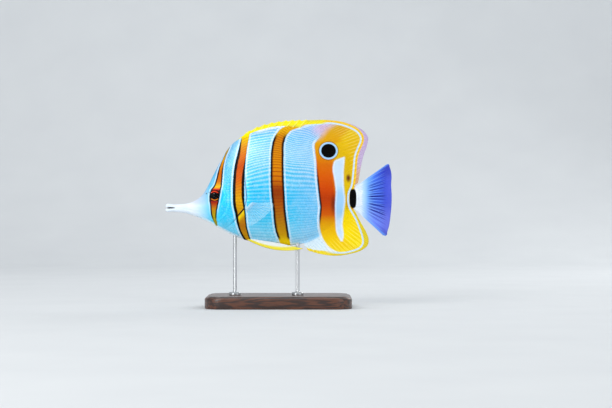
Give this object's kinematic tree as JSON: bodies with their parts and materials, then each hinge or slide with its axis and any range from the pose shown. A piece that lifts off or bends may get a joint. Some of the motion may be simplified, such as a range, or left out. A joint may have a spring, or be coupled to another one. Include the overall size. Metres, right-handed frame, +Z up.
{
  "type": "copperband butterflyfish",
  "caption": "Life-size butterflyfish with a deep, flat body, a long beak-like snout, upright copper bands and an eyespot, held level by slim rods over a flat base.",
  "frame": {"origin": "centre of the bounding box in plan, at the underside of the stand's base", "axes": "+X from the snout to the tail along the fish's length, +Y to the fish's right side, +Z up"},
  "size_m": [0.1499, 0.06, 0.1238],
  "materials": {
    "snout_skin": "smooth white skin, faintly blue, with a wet sheen",
    "body_skin": "scaled silver-blue skin with upright copper bands edged in brown and white, wet sheen",
    "eye": "clear wet cornea over a black pupil and an iris in the copper of the eye band",
    "yellow_fin": "yellow rayed fin, scaled near the body, with a pale blue line inside a clear lilac margin",
    "tail_membrane": "translucent violet-blue membrane with pale branched rays",
    "clear_fin": "clear membrane with fine whitish rays",
    "stand_wood": "dark stained hardwood with a satin varnish",
    "stand_steel": "fine brushed rod"
  },
  "bodies": {
    "root": {"snout": "snout_skin", "lower_jaw": "snout_skin", "head": "body_skin", "gill_cover_left": "body_skin", "gill_cover_right": "body_skin", "trunk": "body_skin", "tail_stalk": "body_skin", "eye_left": "eye", "eye_right": "eye", "dorsal_fin_spiny": "yellow_fin", "dorsal_fin_soft": "yellow_fin", "anal_fin": "yellow_fin", "pelvic_fin_left": "yellow_fin", "pelvic_fin_right": "yellow_fin", "tail_fin": "tail_membrane", "pectoral_fin_left": "clear_fin", "pectoral_fin_right": "clear_fin", "stand_base": "stand_wood", "stand_rod_front": "stand_steel", "stand_rod_rear": "stand_steel"}
  },
  "joints": []
}
